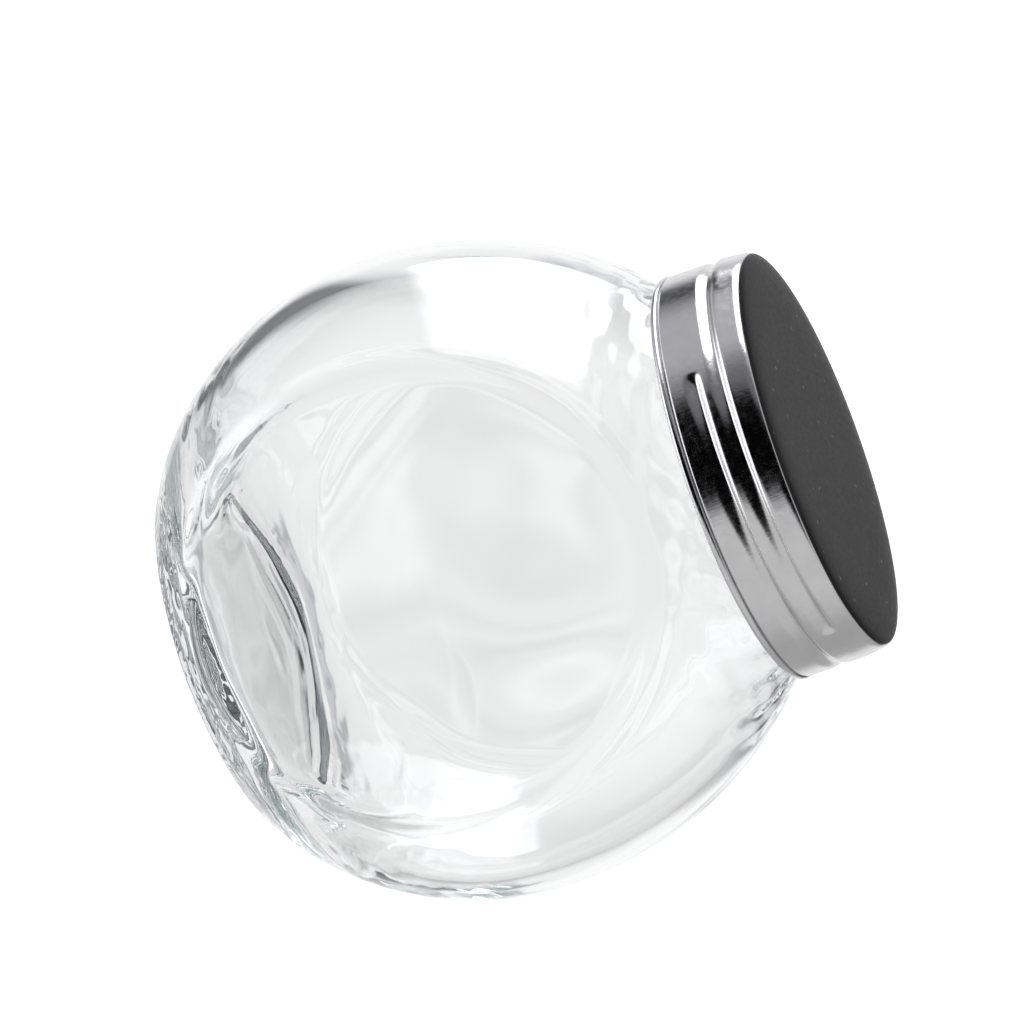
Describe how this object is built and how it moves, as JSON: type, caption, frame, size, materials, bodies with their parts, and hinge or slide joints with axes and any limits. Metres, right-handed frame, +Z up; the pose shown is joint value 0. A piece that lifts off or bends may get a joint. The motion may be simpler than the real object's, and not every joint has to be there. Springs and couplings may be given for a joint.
{
  "type": "coin jar with screw lid",
  "caption": "Clear glass jar with a rounded body, flat front and back panels, a threaded neck and a pressed metal screw lid with a liner.",
  "frame": {"origin": "centre of the base, on the plane that the bearing ring stands on", "axes": "+Z up the jar's axis, out of the mouth; -Y out of the front panel"},
  "size_m": [0.1116, 0.08, 0.1084],
  "materials": {
    "clear_glass": "clear, slightly wavy, faint green-grey tint in thick places",
    "tinplate": "bright pressed steel sheet with fine grain on the skirt and a dark satin top",
    "liner_foam": "matt off-white sealing disc"
  },
  "bodies": {
    "jar": {"glass_jar": "clear_glass"},
    "liner": {"lid_liner": "liner_foam"},
    "lid": {"lid_shell": "tinplate"}
  },
  "joints": [
    {"name": "lid_rise", "type": "slide", "parent": "jar", "child": "liner", "axis": [0, 0, 1], "range_m": [0, 0.017]},
    {"name": "lid_turn", "type": "hinge", "parent": "liner", "child": "lid", "pos_m": [0, 0, 0.1], "axis": [0, 0, 1], "range_deg": [0, 1440]}
  ],
  "couplings": [
    {"joint": "lid_rise", "follows": "lid_turn", "m_per_rad": 0.00067323}
  ]
}
